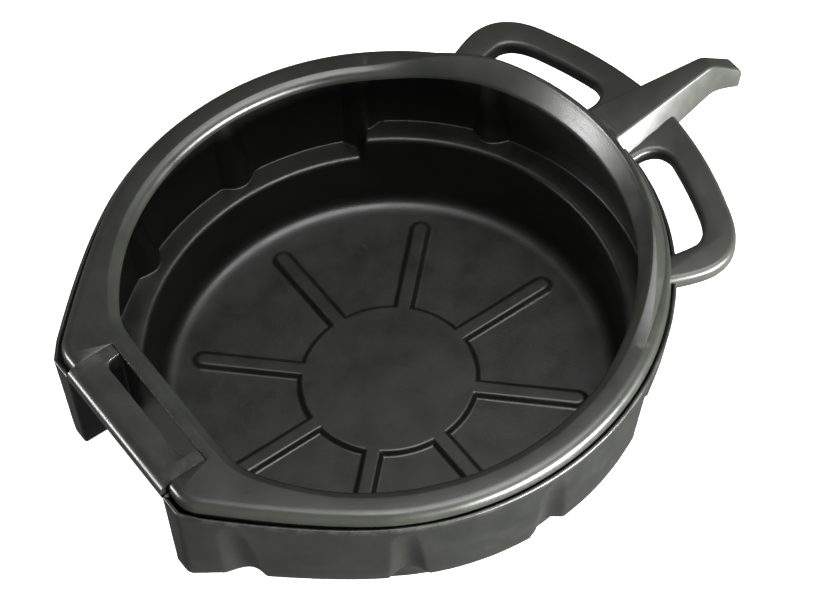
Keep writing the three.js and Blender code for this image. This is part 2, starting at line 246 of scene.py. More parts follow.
def filleted(corners, steps=6):
    """Rounds each (x, y, radius) corner of an open outline with an arc of a fixed number of steps."""
    out = [np.array(corners[0][:2])]
    for before, here, after in zip(corners, corners[1:], corners[2:]):
        b, p, a = (np.array(c[:2], float) for c in (before, here, after))
        radius = here[2]
        if radius <= 0.0:
            out.append(p)
            continue
        u, v = b - p, a - p
        reach_u, reach_v = np.linalg.norm(u), np.linalg.norm(v)
        u, v = u / reach_u, v / reach_v
        half = 0.5 * math.acos(float(np.clip(u @ v, -1.0, 1.0)))
        if half > math.radians(89.9):
            tangent = min(0.45 * reach_u, 0.45 * reach_v, 0.5 * radius)
            out.extend(p + u * tangent * (1 - 2 * k / steps) if k * 2 <= steps
                       else p + v * tangent * (2 * k / steps - 1) for k in range(steps + 1))
            continue
        tangent = min(radius / math.tan(half), 0.48 * reach_u, 0.48 * reach_v)
        real = tangent * math.tan(half)
        centre = p + (u + v) / np.linalg.norm(u + v) * (real / math.sin(half))
        start, end = p + u * tangent - centre, p + v * tangent - centre
        sweep = math.atan2(start[0] * end[1] - start[1] * end[0], float(start @ end))
        for k in range(steps + 1):
            turn = sweep * k / steps
            c, s = math.cos(turn), math.sin(turn)
            out.append(centre + np.array([c * start[0] - s * start[1], s * start[0] + c * start[1]]))
    out.append(np.array(corners[-1][:2]))
    return np.array(out)


def normals(path):
    """Outward unit normals of a closed plan outline that runs clockwise seen from above."""
    ahead = np.roll(path, -1, axis=0)
    behind = np.roll(path, 1, axis=0)
    along = ahead - behind
    along /= np.linalg.norm(along, axis=1)[:, None]
    return np.stack([-along[:, 1], along[:, 0]], axis=1)


def mirrored_loop(half):
    """A closed outline, from azimuth -180 round to 180, out of its half from 0 to 180."""
    left = half[::-1] * np.array([-1.0, 1.0])
    return np.concatenate([left[:-1], half[:-1]])


# ---------------------------------------------------------------- bowl

FLUTES = (30.0, 60.0, 90.0, 120.0)  # azimuths
CORNER_FLUTE = 151.7  # azimuth
CORNER_SHARE = 0.8  # depth of the corner flute as a share of the others
FLUTE_DEPTH = 9.4  # at the wall's foot
FLUTE_HALF_WIDTH = 16.0
DEPTH_LOSS = 0.1  # lost per millimetre going up
WIDTH_LOSS = 0.07
FLUTE_TOP = 131.0
DOME = 15.0  # height of the rounded top of a flute
WINDOW_HALF_WIDTH = 14.0
WINDOW_LOW = 119.0
WINDOW_HIGH = RIM_BOTTOM - GAP
RECESS_HALF = 66.0  # half the length of the hand recess between the front corners
ROUND_END = 156.0  # azimuth where the flared side ends and the front corner begins
FLOOR_EDGE = 171.0  # where the flat floor ends and the foot's round begins
ROUND_STEPS = 720  # points round a full circle
WALL_ROOT = 1.5  # round between the ledge and the wall
LEDGE_EDGE = 4.5  # round of the ledge's inner edge
FOOT_RISE = 15.0  # height where the foot's round becomes the lower wall
FOOT_SPLAY = 1.2  # and how far it has opened by then
PLAN_STEPS = 40  # points along a plan's flared side
FACE_STEPS = 60  # and along half of its front


def flared_plan(radius, start, bends, flare_end, corner, front):
    """Azimuths and radii of a plan that is round behind and flares out to a square front corner."""
    t = np.linspace(0.0, 1.0, PLAN_STEPS)[:, None]
    knots = [polar(radius, start), *(np.array(bend) for bend in bends), np.array(flare_end)]
    weights = [(1 - t) ** 3, 3 * t * (1 - t) ** 2, 3 * t**2 * (1 - t), t**3]
    side = sum(w * k for w, k in zip(weights, knots))
    turn = arc(flare_end, corner, front, 12)
    face = np.column_stack([np.linspace(front[0], 0.0, FACE_STEPS), np.full(FACE_STEPS, front[1])])
    outline = np.concatenate([side, turn[1:], face[1:]])
    angles = azimuth_of(outline)
    angles[-1] = 180.0
    return np.concatenate([[0.0], angles]), np.concatenate([[radius], np.hypot(*outline.T)])


FOOT_PLAN = flared_plan(
    radius=WALL_FOOT_RADIUS,
    start=118.0,
    bends=((172.0, -137.0), (133.0, -181.0)),
    flare_end=(97.0, -219.0),
    corner=(88.0, -236.0),
    front=(76.0, -FRONT_REACH),
)
TOP_PLAN = flared_plan(
    radius=WALL_TOP_RADIUS,
    start=122.0,
    bends=((172.0, -157.0), (134.0, -196.5)),
    flare_end=(98.0, -231.0),
    corner=(90.0, -FRONT_REACH),
    front=(80.0, -FRONT_REACH),
)
BEAD_PLAN = flared_plan(
    radius=RIM_RADIUS,
    start=122.0,
    bends=((167.5, -153.5), (129.5, -192.0)),
    flare_end=(94.0, -226.0),
    corner=(86.0, -RIM_FRONT),
    front=(76.0, -RIM_FRONT),
)


def dome_fill(z):
    """How much of a flute is left at a height, with its top rounded to a dome."""
    rise = np.clip((z - (FLUTE_TOP - DOME)) / DOME, 0.0, 1.0)
    return math.sqrt(max(1.0 - rise * rise, 0.0))


def flute_bite(azimuth, radius, z):
    """How deep the flutes reach in from the wall's face, shallower and narrower going up."""
    climb = max(z - WALL_FOOT, 0.0)
    left = dome_fill(z)
    narrowest = 0.35
    depth = (FLUTE_DEPTH - DEPTH_LOSS * climb) * left
    half = (FLUTE_HALF_WIDTH - WIDTH_LOSS * climb) * (narrowest + (1.0 - narrowest) * left)
    roundness = 1.5
    bite = np.zeros_like(azimuth)
    for place, share in (*((f, 1.0) for f in FLUTES), (CORNER_FLUTE, CORNER_SHARE)):
        off = np.radians(azimuth - place) * radius / half
        bite = np.maximum(bite, share * depth * np.clip(1.0 - off * off, 0.0, 1.0) ** roundness)
    return bite


def wall_spots():
    """Azimuths of the round part's points, close together on the flutes."""
    window = math.degrees(WINDOW_HALF_WIDTH / WALL_FOOT_RADIUS)
    spots = list(np.linspace(0.0, window, 4))
    marks = [*FLUTES, CORNER_FLUTE]
    reach, fine, coarse = 5.0, 0.3, 1.2
    while spots[-1] < ROUND_END - 0.2:
        near = min(abs(spots[-1] - mark) for mark in marks)
        step = fine if near < reach else coarse
        spots.append(min(spots[-1] + step, ROUND_END))
    return np.array(spots)


SPOTS = wall_spots()


def wall_half(z):
    """Outside of the upper wall on the +X side, from the spout round to the middle of the front."""
    share = (z - WALL_FOOT) / (WALL_TOP - WALL_FOOT)
    foot, top = np.interp(SPOTS, *FOOT_PLAN), np.interp(SPOTS, *TOP_PLAN)
    radius = foot + (top - foot) * share
    round_part = polar(radius - flute_bite(SPOTS, radius, z), SPOTS)
    front_corner = 83.0 + 4.0 * share
    outer_round, inner_round, recess_round = 9.0, 6.0, 4.0
    corners = [
        (*round_part[-1], 0.0),
        (front_corner, -FRONT_REACH, outer_round),
        (RECESS_HALF, -FRONT_REACH, inner_round),
    ]
    end_steps, back_steps = 8, 24
    for k in range(1, end_steps):
        reach = FRONT_REACH - (FRONT_REACH - CHORD_WALL) * k / end_steps
        corners.append((RECESS_HALF, -reach, 0.0))
    corners.append((RECESS_HALF, -CHORD_WALL, recess_round))
    for k in range(1, back_steps):
        corners.append((RECESS_HALF * (1 - k / back_steps), -CHORD_WALL, 0.0))
    corners.append((0.0, -CHORD_WALL, 0.0))
    return np.concatenate([round_part, filleted(corners)[1:]])


def base_azimuths(half):
    """The azimuth at which each point of the wall's outline meets the round lower wall."""
    natural = azimuth_of(half)
    natural[-1] = 180.0
    start = int(np.argmax(natural >= CORNER_FLUTE))
    lengths = np.concatenate([[0.0], np.cumsum(np.linalg.norm(np.diff(half, axis=0), axis=1))])
    root = int(np.argmin(np.linalg.norm(half - np.array([RECESS_HALF, -CHORD_WALL]), axis=1)))
    share = (lengths[start:root] - lengths[start]) / (lengths[root] - lengths[start])
    natural[start:root] = natural[start] + share * (natural[root] - natural[start])
    return natural


HALF_FOOT = wall_half(WALL_FOOT)
HALF_BASE = base_azimuths(HALF_FOOT)
AROUND = np.concatenate([-HALF_BASE[::-1][:-1], HALF_BASE[:-1]])


def recess_points():
    """True for the outline's points on the walls of the hand recess, clear of the front corners."""
    x, y = mirrored_loop(HALF_FOOT).T
    return (np.abs(x) < RECESS_HALF + 0.5) & (y < 0.0) & (y > -FRONT_REACH + 8.0)


def ledge_heights():
    """Height of the ledge at each point round the outline, with a short slope at each step."""
    slope = 1.2
    lowered = smooth(np.abs(AROUND), LEDGE_STEP - slope, LEDGE_STEP + slope)
    return LEDGE_HIGH + (LEDGE_LOW - LEDGE_HIGH) * lowered


LEDGE = ledge_heights()


def wall_ring(z, inset, level=None):
    """The wall's outline at height z, set in by inset from its outer face."""
    outline = mirrored_loop(wall_half(z))
    inward = outline - normals(outline) * inset
    heights = np.full(len(outline), z) if level is None else level
    return np.column_stack([inward, heights])


def round_ring(radius, heights, chord=None):
    """A circle in plan at the given heights, flattened at the front by the straight wall."""
    radii = np.full(len(AROUND), radius, float)
    if chord is not None:
        facing = np.cos(np.radians(180.0 - np.abs(AROUND)))
        limit = chord / np.maximum(facing, 0.5)
        blend = 3.0
        radii = blend * 0.02 - blend * np.logaddexp(-radii / blend, -limit / blend)
    return np.column_stack([polar(radii, AROUND), np.broadcast_to(heights, len(AROUND))])


DISC_RADIUS = 72.0
RIB_COUNT = 8
RIB_REACH = 160.0
RIB_HEIGHT = 4.0
RIB_HALF_WIDTH = 7.0
RELIEF_EDGE = 2.2


def floor_relief(x, y):
    """Height of the raised disc and ribs over the floor."""
    disc = DISC_RADIUS - np.hypot(x, y)
    relief = disc
    for i in range(RIB_COUNT // 2):
        a = math.pi * i / (RIB_COUNT // 2)
        along = np.abs(x * math.sin(a) + y * math.cos(a))
        off = np.abs(x * math.cos(a) - y * math.sin(a))
        beyond = np.maximum(along - (RIB_REACH - RIB_HALF_WIDTH), 0.0)
        relief = np.maximum(relief, RIB_HALF_WIDTH - np.hypot(beyond, off))
    return RIB_HEIGHT * smooth(relief, -RELIEF_EDGE, RELIEF_EDGE)


def floor_rings(shell):
    """The floor's top with its relief; returns its outermost ring and that ring's azimuths."""
    spots = np.linspace(-180.0, 180.0, ROUND_STEPS, endpoint=False)
    edge = np.linspace(DISC_RADIUS - 4.0, DISC_RADIUS + 4.0, 9)
    tips = np.linspace(RIB_REACH - 12.0, RIB_REACH + 4.0, 13)
    radii = [8.0, 30.0, 50.0, 62.0, *edge, *np.arange(80.0, 148.0, 4.0), *tips, FLOOR_EDGE - 2.0]
    last = None
    for radius in radii:
        xy = polar(radius, spots)
        ring = shell.ring(np.column_stack([xy, SKIN + floor_relief(xy[:, 0], xy[:, 1])]))
        if last is None:
            shell.fan(ring, (0.0, 0.0, SKIN + RIB_HEIGHT), True)
        else:
            shell.bridge(last, ring)
        last = ring
    return last, spots


def inside_rings():
    """The inside of the tub from the floor's edge over the foot and the ledge to the wall's root."""
    rings = []
    foot_top = FLOOR_RADIUS + FOOT_SPLAY
    foot = arc((FLOOR_EDGE, SKIN), (FLOOR_RADIUS, SKIN), (foot_top, FOOT_RISE), 9)
    rings += [round_ring(r, z) for r, z in foot]
    chord = CHORD_WALL - SKIN
    for share in (0.2, 0.45, 0.7, 0.88):
        radius = foot_top + (KNEE_RADIUS - foot_top) * share
        height = FOOT_RISE + (LEDGE_LOW - LEDGE_EDGE - FOOT_RISE) * share
        rings.append(round_ring(radius, height, chord))
    rings.append(round_ring(KNEE_RADIUS, LEDGE - LEDGE_EDGE, chord))
    for turn in np.radians((22.5, 45.0, 67.5, 90.0)):
        radius = KNEE_RADIUS + LEDGE_EDGE * (1 - math.cos(turn))
        heights = LEDGE - LEDGE_EDGE * (1 - math.sin(turn))
        rings.append(round_ring(radius, heights, chord + 0.02 * LEDGE_EDGE))
    foot_ring = wall_ring(LEDGE_LOW, SKIN)
    start = rings[-1]
    for share in (0.35, 0.7):
        rings.append(start + (foot_ring - start) * share)
        rings[-1][:, 2] = LEDGE
    for turn in np.radians((0.0, 30.0, 60.0, 90.0)):
        inset = SKIN + WALL_ROOT * (1 - math.sin(turn))
        rings.append(wall_ring(LEDGE_LOW, inset, LEDGE + WALL_ROOT * (1 - math.cos(turn))))
    return rings


def wall_levels():
    """Heights of the wall's rings above the ledge, close together round the domes of the flutes."""
    dome_start = FLUTE_TOP - DOME
    domes = dome_start + DOME * np.sin(np.radians(np.arange(0.0, 91.0, 10.0)))
    return [*domes, WINDOW_HIGH, WALL_TOP - 1.0]


def shaped_levels(bottom):
    """Heights between the wall's foot and the domes, at fixed shares of the way up."""
    dome_start = FLUTE_TOP - DOME
    for share in (0.12, 0.3, 0.5, 0.7, 0.86):
        yield bottom + (dome_start - bottom) * share


def window_span():
    """Indices of the outline's stretches that the window in the wall opens."""
    middles = 0.5 * (AROUND[:-1] + AROUND[1:])
    limit = math.degrees(WINDOW_HALF_WIDTH / WALL_FOOT_RADIUS)
    return set(np.nonzero(np.abs(middles) < limit)[0].tolist())


def make_bowl():
    shell = Shell()
    floor, spots = floor_rings(shell)
    inside = [shell.ring(ring) for ring in inside_rings()]
    shell.zipper(floor, inside[0], spots, AROUND)
    for low, high in zip(inside, inside[1:]):
        shell.bridge(low, high)

    opened = window_span()
    levels = wall_levels()
    low_window = int(np.argmin([abs(z - WINDOW_LOW) for z in levels]))
    high_window = levels.index(WINDOW_HIGH)
    faces = {}
    for side, inset, rise in (("in", SKIN, WALL_ROOT), ("out", 0.0, 4.0)):
        rings = []
        for level in shaped_levels(LEDGE + rise):
            rings.append(shell.ring(wall_ring(float(np.mean(level)), inset, level)))
        rings += [shell.ring(wall_ring(z, inset)) for z in levels]
        faces[side] = rings
    lower = len(faces["in"]) - len(levels)
    for side in ("in", "out"):
        rings = faces[side]
        for i, (low, high) in enumerate(zip(rings, rings[1:])):
            inside_window = lower + low_window <= i < lower + high_window
            shell.bridge(low, high, opened if inside_window else ())
    shell.bridge(inside[-1], faces["in"][0])
    top = np.where(recess_points(), UNDER_RIM, WALL_TOP)
    eased = 0.8
    edge = [shell.ring(wall_ring(WALL_TOP, inset, top)) for inset in (SKIN - eased, eased)]
    shell.bridge(faces["in"][-1], edge[0])
    shell.bridge(edge[0], edge[1])
    shell.bridge(edge[1], faces["out"][-1])
    frame_window(shell, faces, opened, lower + low_window, lower + high_window)
    underneath(shell, faces["out"][0])
    return shell.made("bowl_shell")


def frame_window(shell, faces, opened, low, high):
    """Closes the thickness of the wall round the window."""
    inner, outer = faces["in"], faces["out"]
    count = len(AROUND)
    for i in opened:
        j = (i + 1) % count
        for level in (low, high):
            shell.faces.append((inner[level][i], inner[level][j], outer[level][j], outer[level][i]))
    first = min(opened)
    last = max(opened) + 1
    for level in range(low, high):
        for i in (first, last):
            shell.faces.append(
                (inner[level][i], inner[level + 1][i], outer[level + 1][i], outer[level][i])
            )


def underneath(shell, wall):
    """The outside below the wall: skirt edge, underside of the ledge, lower wall and base."""
    edge = 5.0  # round of the skirt's lower edge
    rings = [wall]
    skirt = LEDGE - SKIN
    for turn in np.radians((0.0, 30.0, 60.0, 90.0)):
        inset = edge * (1 - math.cos(turn))
        rings.append(shell.ring(wall_ring(WALL_FOOT, inset, skirt + edge * (1 - math.sin(turn)))))
    outside = KNEE_RADIUS + SKIN
    rings.append(shell.ring(round_ring(outside + 1.5, skirt, CHORD_WALL - 0.3)))
    rings.append(shell.ring(round_ring(outside, skirt - 1.5, CHORD_WALL - 0.6)))
    foot_radius = FLOOR_RADIUS + SKIN
    foot_top = foot_radius + FOOT_SPLAY
    for share in (0.9, 0.6, 0.3, 0.0):
        radius = foot_top + (outside - foot_top) * share
        height = FOOT_RISE + (WALL_FOOT - 2.0 - FOOT_RISE) * share
        rings.append(shell.ring(round_ring(radius, height, CHORD_WALL - 0.6)))
    for r, z in arc((foot_top, FOOT_RISE), (foot_radius, 0.0), (FLOOR_EDGE, 0.0), 9)[1:]:
        rings.append(shell.ring(round_ring(r, z)))
    rings.append(shell.ring(round_ring(60.0, 0.0)))
    for high, low in zip(rings, rings[1:]):
        shell.bridge(high, low)
    shell.fan(rings[-1], (0.0, 0.0, 0.0), False)


# ---------------------------------------------------------------- splash rim

CREST_FALL = 26.0  # azimuth where the crest starts to fall
CREST_END = 58.0  # and where it has come down to the flat rim
LIP_DROP = 7.0  # how far the lip rolls down from the flat rim
RIM_OVER = 8.5  # round of the rim's outer edge


def rim_section(azimuth):
    """Closed section of the rim, as (radius, height), from the lip's foot over the top and back."""
    t = abs(azimuth)
    crest = 1.0 - smooth(t, CREST_FALL, CREST_END)
    facing = max(math.cos(math.radians(180.0 - t)), 0.5)
    blend = 2.5
    lip = MOUTH_RADIUS + 2.0 * crest
    lip = -blend * np.logaddexp(-lip / blend, -(MOUTH_FRONT / facing) / blend)
    lip_z = RIM_TOP - LIP_DROP + LIP_DROP * crest
    outer = float(np.interp(t, *BEAD_PLAN))
    top = RIM_TOP + (CREST_TOP - RIM_TOP) * crest
    return np.array(rim_inner_face(lip, lip_z, top, crest) + rim_outer_face(lip, lip_z, outer, top, crest))


def rim_crease(lip, crest):
    """Radius of the crease between the rolled lip and the top."""
    return lip + 8.0 + 3.0 * crest


def rim_inner_face(lip, lip_z, top, crest):
    """The lip's foot, its roll and the crease; on the crest the roll straightens into a slope."""
    crease = rim_crease(lip, crest)
    crease_z = top - 0.9 * crest
    rolled = np.array((lip + 0.6 + 3.5 * crest, lip_z + 5.2))
    straight = np.array(((lip + crease) / 2, (lip_z + crease_z) / 2))
    bend = rolled * (1 - crest) + crest * straight
    slope_end = (crease - 1.0, crease_z - 0.25 - 1.2 * crest)
    crease_start = (crease - 0.6, crease_z - 0.1 - 0.6 * crest)
    points = list(arc((lip + 1.6, lip_z - 3.2), (lip - 0.1, lip_z - 3.0), (lip, lip_z - 1.4), 3))
    points += list(arc((lip, lip_z), bend, slope_end, 8))
    points += list(arc(crease_start, (crease + 0.3, top), (crease + 1.2, top), 4))
    return points


def rim_outer_face(lip, lip_z, outer, top, crest):
    """The top, the crest's fall, the rounded outer edge, the leg and the underside."""
    crease = rim_crease(lip, crest)
    top_end = (outer - RIM_OVER) * (1 - crest) + (crease + 2.6) * crest
    shoulder = (outer - RIM_OVER + 5.3 * crest, RIM_TOP + 0.6 * crest)
    fall = (top_end + 1.9 * crest, top - 2.4 * crest)
    edge_corner = (outer, RIM_TOP + 0.2 * crest)
    edge_end = (outer, RIM_TOP - RIM_OVER + 3.0 * crest)
    points = list(arc((top_end, top), (top_end + 1.2 * crest, top), fall, 4))
    points += [np.array(fall) * (1 - k) + np.array(shoulder) * k for k in (0.3, 0.65)]
    points += list(arc(shoulder, edge_corner, edge_end, 8))
    eased = 0.8
    inner = outer - SKIN
    points += [(outer, RIM_BOTTOM + eased), (outer - eased, RIM_BOTTOM)]
    points += [(inner + eased, RIM_BOTTOM), (inner, RIM_BOTTOM + eased), (inner, RIM_TOP - RIM_OVER)]
    under = top - SKIN - 1.5 * crest
    points += [(shoulder[0] - 3.0 * crest, RIM_TOP - SKIN + 1.5 * crest), (top_end - 0.5 * crest, under)]
    points += [(crease + 1.5, under)]
    points += [(lip + 3.4 + 0.8 * crest, lip_z - 0.2 * crest - 2.2), (lip + 3.0, lip_z - 3.2)]
    return points


def make_rim():
    sections = []
    for azimuth in np.linspace(-180.0, 180.0, ROUND_STEPS, endpoint=False):
        section = rim_section(azimuth)
        xy = polar(section[:, 0], azimuth)
        sections.append(np.column_stack([xy, section[:, 1]]))
    rim = loft_round("splash_rim_shell", sections)
    past, under, over = 50.0, 100.0, 200.0  # clear of the rim in front, below and above
    room = box_tool((-RECESS_HALF, -FRONT_REACH - past, under), (RECESS_HALF, SLOT_BACK, over))
    cut(rim, room, "DIFFERENCE")
    ease_edges(rim, 0.5, angle=60.0)
    return rim


# ---------------------------------------------------------------- grip and loop handles

SLOT_BACK = -197.0
SLOT_FRONT = -211.0
SLOT_HALF = 54.0


def slab(name, outline, low, high, edge, segments=5):
    """A flat-topped bar of a plan outline, with its edges rolled over by the edge radius."""
    shell = Shell()
    lower = shell.ring([(x, y, low) for x, y in outline])
    upper = shell.ring([(x, y, high) for x, y in outline])
    shell.bridge(lower, upper)
    shell.faces.append(tuple(lower))
    shell.faces.append(tuple(upper))
    piece = shell.made(name)
    bevel = piece.modifiers.new("rolled", "BEVEL")
    bevel.width = edge * MM
    bevel.segments = segments
    bevel.limit_method = "ANGLE"
    bevel.angle_limit = math.radians(60.0)
    apply_modifiers(piece)
    shade_by_angle(piece, 35.0)
    return piece


def bar_section(back, x):
    """Closed section of the grip at x, as points, from the top's back edge over the front and under."""
    low, high, front = GRIP_BOTTOM, RIM_TOP, -FRONT_REACH
    outline = []
    outline += list(arc((back, high - 1.6), (back, high), (back - 1.6, high), 4))
    outline += [(-217.0, high), (-221.0, high)]
    outline += list(arc((-225.0, high), (front, high), (front, high - 8.0), 10))
    outline += list(arc((front, low + 4.0), (front, low), (front + 4.0, low), 5))
    outline += [(-225.0, low), (-217.0, low)]
    outline += list(arc((back - 3.0, low), (back, low), (back, low + 3.0), 4))
    return [(x, y, z) for y, z in outline]


def make_grip():
    """The bar across the front, with an end plate at each side of the finger slot."""
    end = grip_high.x / MM
    corner = 7.0
    turn = np.radians(np.arange(0.0, 91.0, 15.0))
    turns = [SLOT_HALF - corner + corner * math.sin(a) for a in turn]
    backs = [SLOT_FRONT + corner * (1 - math.cos(a)) for a in turn]
    behind = SLOT_BACK - GAP
    half = [(x, back) for x, back in zip(turns, backs)] + [(SLOT_HALF + 0.6, behind), (end, behind)]
    places = [(-x, back) for x, back in half[::-1]] + half
    shell = Shell()
    rings = [shell.ring(bar_section(back, x)) for x, back in places]
    for low, high in zip(rings, rings[1:]):
        shell.bridge(low, high)
    shell.faces.append(tuple(rings[0]))
    shell.faces.append(tuple(rings[-1][::-1]))
    grip = shell.made("front_grip_bar")
    shade_by_angle(grip, 40.0)
    return grip


def loop_outline():
    """The right-hand loop seen from above, from its leg along the spout to its leg on the rim."""
    pieces = [
        arc((5.0, 277.0), (60.0, 274.0), (112.0, 253.0), 14),
        arc((112.0, 253.0), (157.0, 238.0), (154.0, 205.0), 12),
        arc((154.0, 205.0), (152.0, 190.0), (138.0, 163.5), 8),
        arc((120.0, 178.0), (125.5, 198.0), (126.5, 210.0), 6),
        arc((126.5, 210.0), (125.0, 222.0), (106.0, 230.0), 8),
        arc((106.0, 230.0), (78.0, 241.0), (50.0, 247.0), 10),
        arc((50.0, 247.0), (34.0, 248.0), (32.0, 232.0), 8),
        np.array([(32.0, 232.0), (32.0, 212.0), (5.0, 214.4)]),
    ]
    outline = [pieces[0][0]]
    for piece in pieces:
        for p in piece:
            if np.linalg.norm(p - outline[-1]) > 0.1:
                outline.append(p)
    return np.array(outline)


def make_loop(name, side):
    outline = loop_outline() * np.array([side, 1.0])
    if side < 0:
        outline = outline[::-1]
    return slab(name, outline, LOOP_BOTTOM, LOOP_TOP, 4.4)


# ---------------------------------------------------------------- spout

SPOUT_FOLD = 321.5  # where the flat top folds down into the nozzle
SPOUT_BOTTOM = 134.0
SPOUT_ROUND = 2.2  # round of its long edges
SPOUT_WALL = 2.4


def spout_half_width(y, z):
    """The spout narrows on its way out, and its sides splay outward going down."""
    root_width, narrowing, least_width = 17.5, 10.5, 6.0
    root_splay, splay_loss, least_splay = 0.54, 0.42, 0.1
    along = (y - CREST_RADIUS) / (SPOUT_FOLD - CREST_RADIUS)
    at_top = max(root_width - narrowing * along, least_width)
    splay = max(root_splay - splay_loss * along, least_splay)
    return at_top + splay * (SPOUT_TOP - z)


def spout_stations():
    """Pairs of top and bottom points, as (reach, height), from the crest to the tip."""
    tip_y = SPOUT_TIP
    level = (216.0, 222.0, 235.0, 255.0, 275.0, 295.0, 308.0)
    stations = [((y, SPOUT_TOP), (y, SPOUT_BOTTOM)) for y in level]
    stations += [
        ((315.0, SPOUT_TOP), (313.0, SPOUT_BOTTOM)),
        ((318.5, SPOUT_TOP - 0.1), (316.0, SPOUT_BOTTOM - 0.1)),
        ((321.5, SPOUT_TOP - 0.9), (318.5, SPOUT_BOTTOM - 0.5)),
        ((324.5, SPOUT_TOP - 2.6), (321.0, SPOUT_BOTTOM - 1.3)),
        ((330.0, SPOUT_TOP - 7.0), (326.0, SPOUT_BOTTOM - 3.4)),
        ((338.0, SPOUT_TOP - 13.6), (333.5, SPOUT_BOTTOM - 6.8)),
        ((tip_y - 5.0, SPOUT_TOP - 20.8), (341.0, SPOUT_BOTTOM - 10.4)),
        ((tip_y - 1.2, SPOUT_TOP - 24.6), (345.0, SPOUT_BOTTOM - 12.4)),
        ((tip_y - 0.3, SPOUT_TOP - 26.6), (346.3, SPOUT_BOTTOM - 12.6)),
    ]
    return stations


def spout_section(top, bottom, inset, corner):
    """A splayed section with rounded corners between a top and a bottom point."""
    top, bottom = np.array(top), np.array(bottom)
    down = (bottom - top) / np.linalg.norm(bottom - top)
    top, bottom = top + down * inset, bottom - down * inset
    wide_top = spout_half_width(*top) - inset
    wide_bottom = spout_half_width(*bottom) - inset
    depth = float(np.linalg.norm(bottom - top))
    corner = min(corner, 0.45 * depth, 0.9 * wide_top)
    outline = filleted(
        [
            (0.0, 0.0, 0.0),
            (wide_top, 0.0, corner),
            (wide_bottom, depth, corner),
            (0.0, depth, 0.0),
        ]
    )
    half = outline[1:-1]
    loop = np.concatenate([half, half[::-1] * np.array([-1.0, 1.0])])
    places = top + loop[:, 1:] * down
    return np.column_stack([loop[:, 0], places])


def make_spout():
    """The body from the crest to the nozzle's tip, turned back inside itself at the mouth."""
    shell = Shell()
    stations = spout_stations()
    rings = [shell.ring(spout_section(top, bottom, 0.0, SPOUT_ROUND)) for top, bottom in stations]
    lip_shares = (0.45, 1.0, 1.0)
    for (top, bottom), share in zip(stations[:-4:-1], lip_shares):
        rings.append(shell.ring(spout_section(top, bottom, SPOUT_WALL * share, 2.0)))
    for top, bottom in stations[-4::-1]:
        rings.append(shell.ring(spout_section(top, bottom, SPOUT_WALL, 1.6)))
    for low, high in zip(rings, rings[1:]):
        shell.bridge(low, high)
    shell.bridge(rings[-1], rings[0])
    return shell.made("pour_spout_body")


def make_chute():
    """A closed block in the place of the duct that runs from the wall's window up to the spout."""
    shell = Shell()
    width = WINDOW_HALF_WIDTH + SKIN
    high = SPOUT_BOTTOM + 4.0
    corner = 3.0
    floor_line = ((213.9, WINDOW_LOW - SKIN), (222.0, WINDOW_LOW - 1.0), (250.0, 128.0), (272.0, 133.6))
    rings = []
    for y, low in floor_line:
        corners = [
            (0.0, low, 0.0),
            (width, low, corner),
            (width, high, 0.0),
            (-width, high, 0.0),
            (-width, low, corner),
            (0.0, low, 0.0),
        ]
        rings.append(shell.ring([(x, y, z) for x, z in filleted(corners)[:-1]]))
    for low, high in zip(rings, rings[1:]):
        shell.bridge(low, high)
    shell.faces.append(tuple(rings[0]))
    shell.faces.append(tuple(rings[-1][::-1]))
    return shell.made("pour_spout_chute")


# ---------------------------------------------------------------- materials


class Recipe:
    """The node tree of one material, with short ways to add the nodes that these materials use."""

    def __init__(self, name):
        self.material = bpy.data.materials.new(name)
        self.material.use_nodes = True
        self.nodes = self.material.node_tree.nodes
        self.links = self.material.node_tree.links
        self.shader = self.nodes["Principled BSDF"]
        self.place = self.nodes.new("ShaderNodeTexCoord").outputs["Object"]

    def noise(self, scale, detail, rough=0.5, place=None):
        node = self.nodes.new("ShaderNodeTexNoise")
        node.inputs["Scale"].default_value = scale
        node.inputs["Detail"].default_value = detail
        node.inputs["Roughness"].default_value = rough
        self.links.new(place or self.place, node.inputs["Vector"])
        return node.outputs["Fac"]

    def ramp(self, value, stops):
        """Maps a value through (position, colour) stops; a single number stands for a grey."""
        node = self.nodes.new("ShaderNodeValToRGB")
        while len(node.color_ramp.elements) < len(stops):
            node.color_ramp.elements.new(0.5)
        for element, (position, shade) in zip(node.color_ramp.elements, stops):
            grey = isinstance(shade, float)
            element.position = position
            element.color = (shade, shade, shade, 1.0) if grey else (*shade, 1.0)
        self.links.new(value, node.inputs["Fac"])
        return node.outputs["Color"]

    def mix(self, kind, amount, first, second):
        """Blends two colours; each input is a number, a colour or another node's output."""
        factor, colour_a, colour_b = 0, 6, 7
        result = 2
        node = self.nodes.new("ShaderNodeMix")
        node.data_type = "RGBA"
        node.blend_type = kind
        for value, socket in ((amount, factor), (first, colour_a), (second, colour_b)):
            if isinstance(value, float):
                node.inputs[socket].default_value = value
            elif isinstance(value, tuple):
                node.inputs[socket].default_value = (*value, 1.0)
            else:
                self.links.new(value, node.inputs[socket])
        return node.outputs[result]

    def bump(self, height, strength, depth, below=None):
        """A bump of the given depth in millimetres, laid over the bump below it."""
        node = self.nodes.new("ShaderNodeBump")
        node.inputs["Strength"].default_value = strength
        node.inputs["Distance"].default_value = depth * MM
        self.links.new(height, node.inputs["Height"])
        if below:
            self.links.new(below, node.inputs["Normal"])
        return node.outputs["Normal"]


